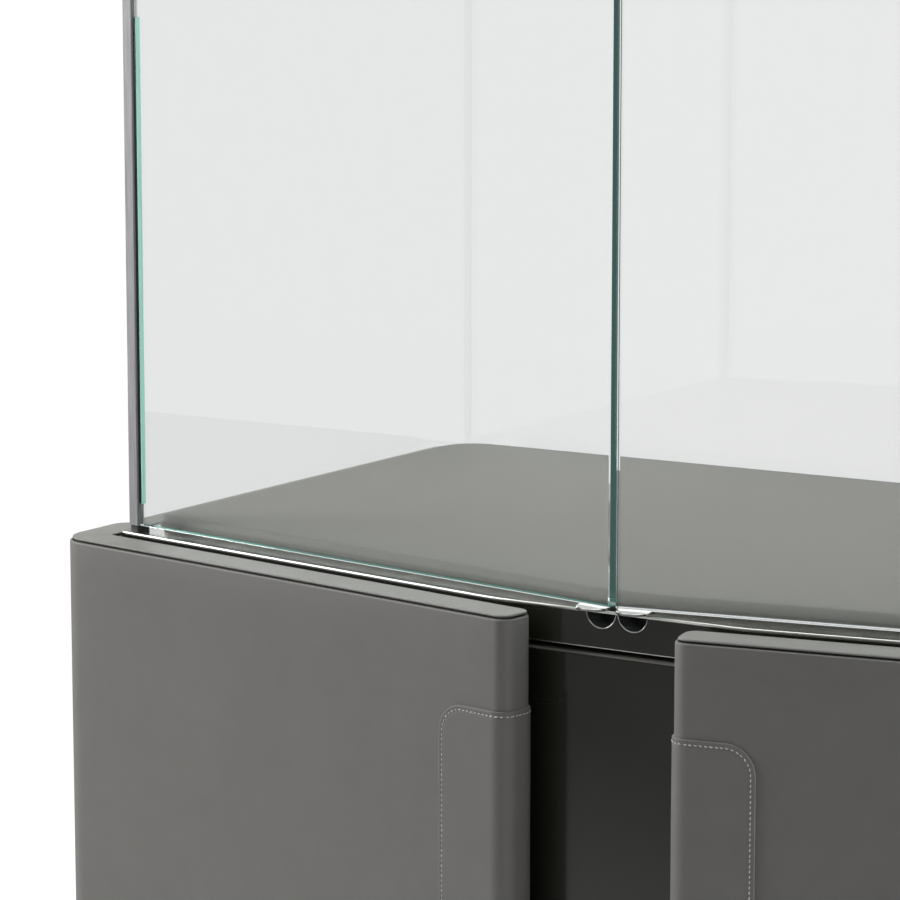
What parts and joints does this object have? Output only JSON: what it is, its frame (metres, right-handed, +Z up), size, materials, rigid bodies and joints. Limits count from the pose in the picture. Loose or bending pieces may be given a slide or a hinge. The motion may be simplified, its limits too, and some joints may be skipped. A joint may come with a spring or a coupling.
{
  "type": "glass display cabinet",
  "caption": "Bowed glass display case with pivoting glass doors, standing on a leather-clad cabinet whose thick curved doors wrap round the corners.",
  "frame": {"origin": "on the floor, under the middle of the cabinet's overall width and depth", "axes": "+X to the right of someone facing the doors, +Y to the back, +Z up"},
  "size_m": [0.964, 0.5999, 1.1825],
  "materials": {
    "leather_grey": "matt grained leather, pigmented warm grey",
    "leather_edge": "burnished leather edge, lighter grey",
    "lacquer_bronze": "gloss dark bronze lacquer on board",
    "lacquer_inner": "matt dark bronze lacquer on board",
    "steel_polished": "polished steel",
    "aluminium_satin": "satin anodised",
    "rubber_black": "matt black",
    "black_gloss": "gloss black",
    "hinge_steel": "fine brushed",
    "glass_clear": "clear float glass with green polished edges"
  },
  "bodies": {
    "cabinet": {"back_board": "leather_grey", "back_pane": "glass_clear", "base_board": "lacquer_inner", "bush_lower_left": "rubber_black", "bush_lower_right": "rubber_black", "bush_upper_left": "rubber_black", "bush_upper_right": "rubber_black", "catch_left": "black_gloss", "catch_right": "black_gloss", "centre_divider": "lacquer_inner", "centre_stile": "lacquer_bronze", "deck_pad": "leather_grey", "fascia_centre": "lacquer_bronze", "fascia_left": "lacquer_bronze", "fascia_right": "lacquer_bronze", "finger_cup_left": "black_gloss", "finger_cup_right": "black_gloss", "glide_back_left": "rubber_black", "glide_back_right": "rubber_black", "glide_front_left": "rubber_black", "glide_front_right": "rubber_black", "hinge_arm_1_left": "hinge_steel", "hinge_arm_1_right": "hinge_steel", "hinge_arm_2_left": "hinge_steel", "hinge_arm_2_right": "hinge_steel", "hinge_arm_3_left": "hinge_steel", "hinge_arm_3_right": "hinge_steel", "plinth": "lacquer_inner", "rim_plate": "steel_polished", "roof_pane": "glass_clear", "shelf_left": "lacquer_inner", "shelf_pins_left": "hinge_steel", "shelf_pins_right": "hinge_steel", "shelf_right": "lacquer_inner", "side_board_left": "lacquer_inner", "side_board_right": "lacquer_inner", "side_cladding_left": "leather_grey", "side_cladding_right": "leather_grey", "side_pane_left": "glass_clear", "side_pane_right": "glass_clear", "top_board": "lacquer_inner"},
    "glass_door_left": {"hinge_post_left": "aluminium_satin", "door_pane_left": "glass_clear", "door_gasket_left": "rubber_black", "pull_tab_left": "steel_polished"},
    "leather_door_left": {"door_core_left": "lacquer_inner", "door_leather_left": "leather_grey", "door_top_strip_left": "leather_edge", "handle_patch_left": "leather_grey", "strike_plate_left": "hinge_steel"},
    "glass_door_right": {"hinge_post_right": "aluminium_satin", "door_pane_right": "glass_clear", "door_gasket_right": "rubber_black", "pull_tab_right": "steel_polished"},
    "leather_door_right": {"door_core_right": "lacquer_inner", "door_leather_right": "leather_grey", "door_top_strip_right": "leather_edge", "handle_patch_right": "leather_grey", "strike_plate_right": "hinge_steel"}
  },
  "joints": [
    {"name": "left_glass_hinge", "type": "hinge", "parent": "cabinet", "child": "glass_door_left", "pos_m": [-0.44023, -0.18524, 0.98], "axis": [0, 0, -1], "range_deg": [0, 100]},
    {"name": "left_leather_hinge", "type": "hinge", "parent": "cabinet", "child": "leather_door_left", "pos_m": [-0.46775, -0.1643, 0.42], "axis": [0, 0, -1], "range_deg": [0, 95]},
    {"name": "right_glass_hinge", "type": "hinge", "parent": "cabinet", "child": "glass_door_right", "pos_m": [0.44023, -0.18524, 0.98], "axis": [0, 0, 1], "range_deg": [0, 100]},
    {"name": "right_leather_hinge", "type": "hinge", "parent": "cabinet", "child": "leather_door_right", "pos_m": [0.46775, -0.1643, 0.42], "axis": [0, 0, 1], "range_deg": [0, 95]}
  ]
}
